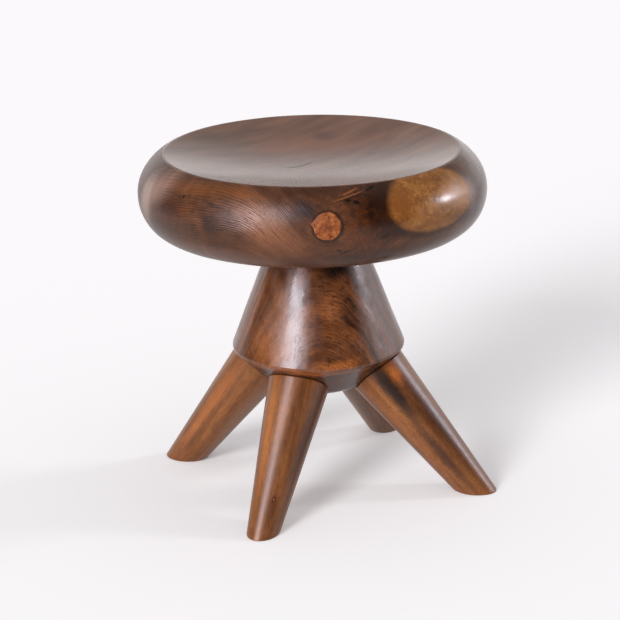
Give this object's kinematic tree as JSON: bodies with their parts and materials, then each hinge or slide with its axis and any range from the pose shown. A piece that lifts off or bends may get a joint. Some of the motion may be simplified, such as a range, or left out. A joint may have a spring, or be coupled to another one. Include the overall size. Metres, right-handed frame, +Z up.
{
  "type": "stool",
  "caption": "Round wooden stool: a thick dished seat on a turned cone pedestal with splayed, tapered legs.",
  "frame": {"origin": "on the floor, on the seat's axis", "axes": "+Z up along the seat's axis; +X and +Y lie between the legs, and the knot in the seat's side faces -Y"},
  "size_m": [0.42, 0.42, 0.4232],
  "materials": {
    "seat_wood": "dark walnut-brown hardwood under satin lacquer",
    "pedestal_wood": "mid brown figured hardwood under gloss lacquer",
    "leg_wood": "orange-brown straight-grained hardwood under gloss lacquer",
    "knot_wood": "mottled orange end grain, satin",
    "wedge_wood": "bare sawn hardwood"
  },
  "bodies": {
    "root": {"seat": "seat_wood", "knot_plug": "knot_wood", "pedestal": "pedestal_wood", "leg_front_left": "leg_wood", "leg_front_right": "leg_wood", "leg_back_right": "leg_wood", "leg_back_left": "leg_wood", "seat_tenon_wedge": "wedge_wood", "leg_wedge_front_left": "wedge_wood", "leg_wedge_front_right": "wedge_wood", "leg_wedge_back_right": "wedge_wood", "leg_wedge_back_left": "wedge_wood"}
  },
  "joints": []
}
